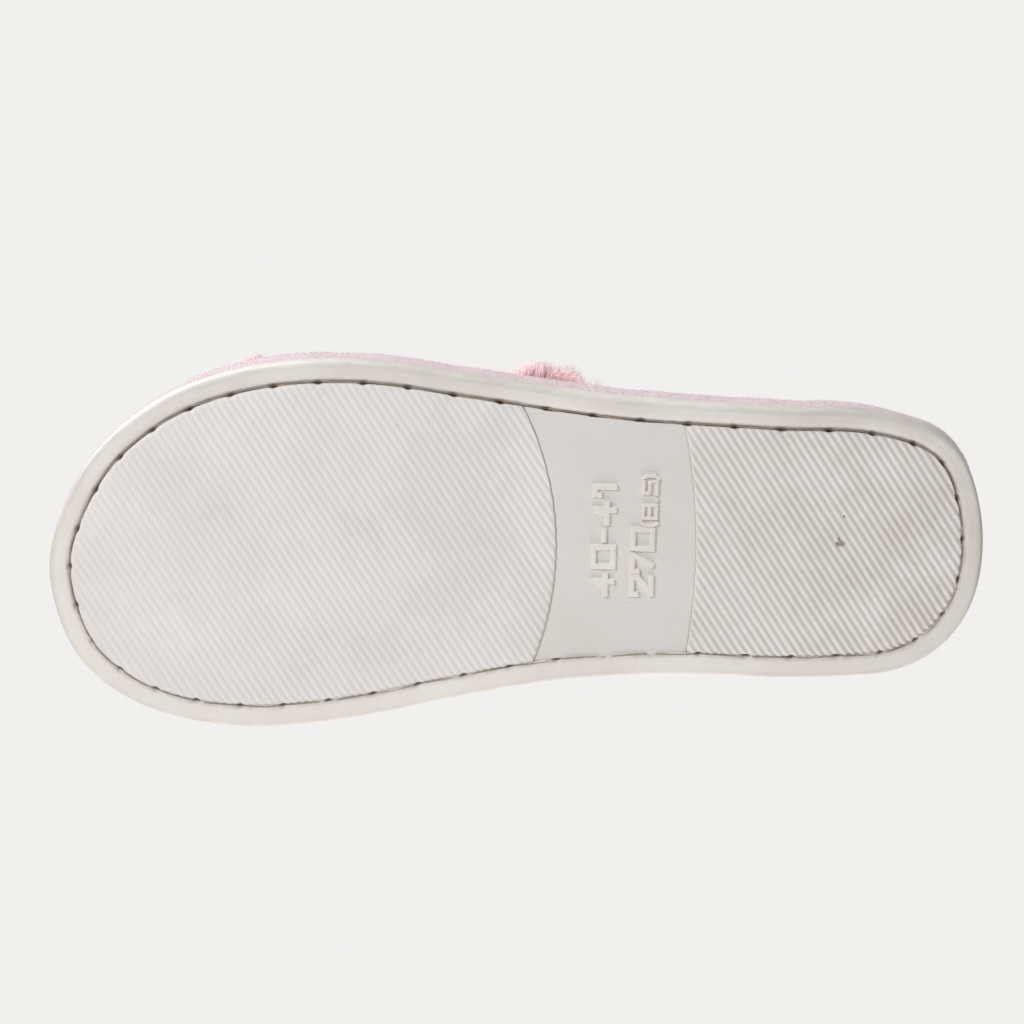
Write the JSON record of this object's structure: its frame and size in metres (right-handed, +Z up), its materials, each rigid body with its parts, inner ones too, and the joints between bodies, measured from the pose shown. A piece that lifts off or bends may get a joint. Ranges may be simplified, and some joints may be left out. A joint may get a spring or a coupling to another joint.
{
  "type": "fluffy house slipper",
  "caption": "Open-toe left house slipper: padded long-pile bands cross over a cushioned plush footbed on a wrapped platform, stitched to a ribbed outsole.",
  "frame": {"origin": "on the ground, under the middle of the slipper's bounding box", "axes": "+Z up from the ground, -Y towards the toe, +X towards the little-toe (lateral) side of a left foot"},
  "size_m": [0.1086, 0.2708, 0.0827],
  "materials": {
    "sole_rubber": "warm off-white foamed rubber, matt, fine moulded grain, slightly soiled",
    "sole_thread": "twisted off-white thread",
    "filler_felt": "grey-beige felted filler",
    "platform_foam": "white closed-cell foam",
    "fibre_board": "brown pressed fibre board",
    "wrap_plush": "mauve-pink short-pile plush",
    "seam_thread": "pink polyester thread",
    "cushion_foam": "pale yellow open-cell foam",
    "sock_plush": "pink coral-fleece plush",
    "lining_plush": "pale pink short-pile plush",
    "band_foam": "cream open-cell foam",
    "long_pile": "salmon-pink long-pile faux fur",
    "binding_tape": "pink woven tape"
  },
  "bodies": {
    "root": {"outsole": "sole_rubber", "sole_needle_thread": "sole_thread", "bottom_filler": "filler_felt", "platform": "platform_foam", "insole_board": "fibre_board", "platform_wrap": "wrap_plush", "top_edge_seam_thread": "seam_thread", "cushion_foam": "cushion_foam", "sock_cover": "sock_plush", "sole_bobbin_thread": "seam_thread", "upper_band_lining": "lining_plush", "upper_band_foam": "band_foam", "upper_band_pile_shell": "long_pile", "upper_band_front_binding": "binding_tape", "upper_band_rear_binding": "binding_tape", "lower_band_lining": "lining_plush", "lower_band_foam": "band_foam", "lower_band_pile_shell": "long_pile", "lower_band_front_binding": "binding_tape", "lower_band_rear_binding": "binding_tape"}
  },
  "joints": []
}
